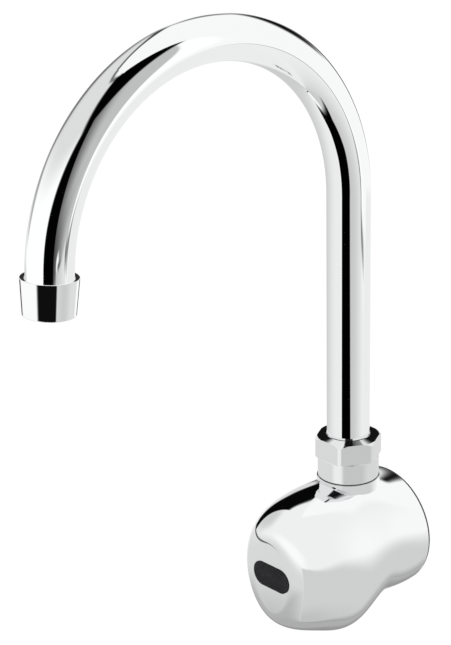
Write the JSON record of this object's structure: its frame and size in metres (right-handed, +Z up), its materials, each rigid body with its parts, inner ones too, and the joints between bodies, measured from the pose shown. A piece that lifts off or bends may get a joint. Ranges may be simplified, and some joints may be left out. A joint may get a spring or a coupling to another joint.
{
  "type": "sensor tap",
  "caption": "Wall-mounted touch-free basin tap: a cast drum body with an infrared window in its front face carries a swivelling swan-neck spout with a straight outlet nozzle.",
  "frame": {"origin": "centre of the mounting plate's back face, on the wall", "axes": "+Z up along the riser, +Y into the wall, the spout reaches out along -Y"},
  "size_m": [0.0506, 0.177, 0.2622],
  "materials": {
    "polished_chrome": "mirror-polished plating",
    "brass_waterway": "turned",
    "plate_casting": "as cast, faced on the back",
    "black_seal": "moulded, matt",
    "slip_washer": "smooth white",
    "screw_steel": "stainless",
    "screen_steel": "stamped stainless",
    "window_plastic": "polished, charcoal black",
    "sensor_plastic": "moulded black",
    "clear_diode": "clear epoxy",
    "dark_diode": "dark tinted epoxy",
    "circuit_board": "green solder mask",
    "outlet_plastic": "moulded off-white"
  },
  "bodies": {
    "mounting": {"body_shell": "polished_chrome", "wall_gasket": "black_seal", "wall_plate": "plate_casting", "cable_grommet": "black_seal", "body_set_screw": "screw_steel", "water_elbow": "brass_waterway", "elbow_seal": "black_seal", "inlet_screen": "screen_steel", "neck_gasket": "black_seal", "neck_adapter": "polished_chrome", "coupling_nut": "polished_chrome", "slip_washer_lower": "slip_washer", "slip_washer_upper": "slip_washer", "sensor_window": "window_plastic", "window_gasket": "black_seal", "sensor_housing": "sensor_plastic", "ir_emitter": "clear_diode", "ir_receiver": "dark_diode", "sensor_board": "circuit_board", "sensor_clamp": "screen_steel", "clamp_screw_left": "screw_steel", "clamp_screw_right": "screw_steel"},
    "spout": {"gooseneck_tube": "polished_chrome", "spout_sleeve": "brass_waterway", "spout_o_ring_upper": "black_seal", "spout_o_ring_lower": "black_seal", "outlet_shell": "polished_chrome", "outlet_washer": "black_seal", "flow_regulator": "outlet_plastic", "stream_former": "outlet_plastic"}
  },
  "joints": [
    {"name": "spout_swivel", "type": "hinge", "parent": "mounting", "child": "spout", "pos_m": [0, -0.0225, 0.04295], "axis": [0, 0, 1], "range_deg": [-90, 90]}
  ]
}
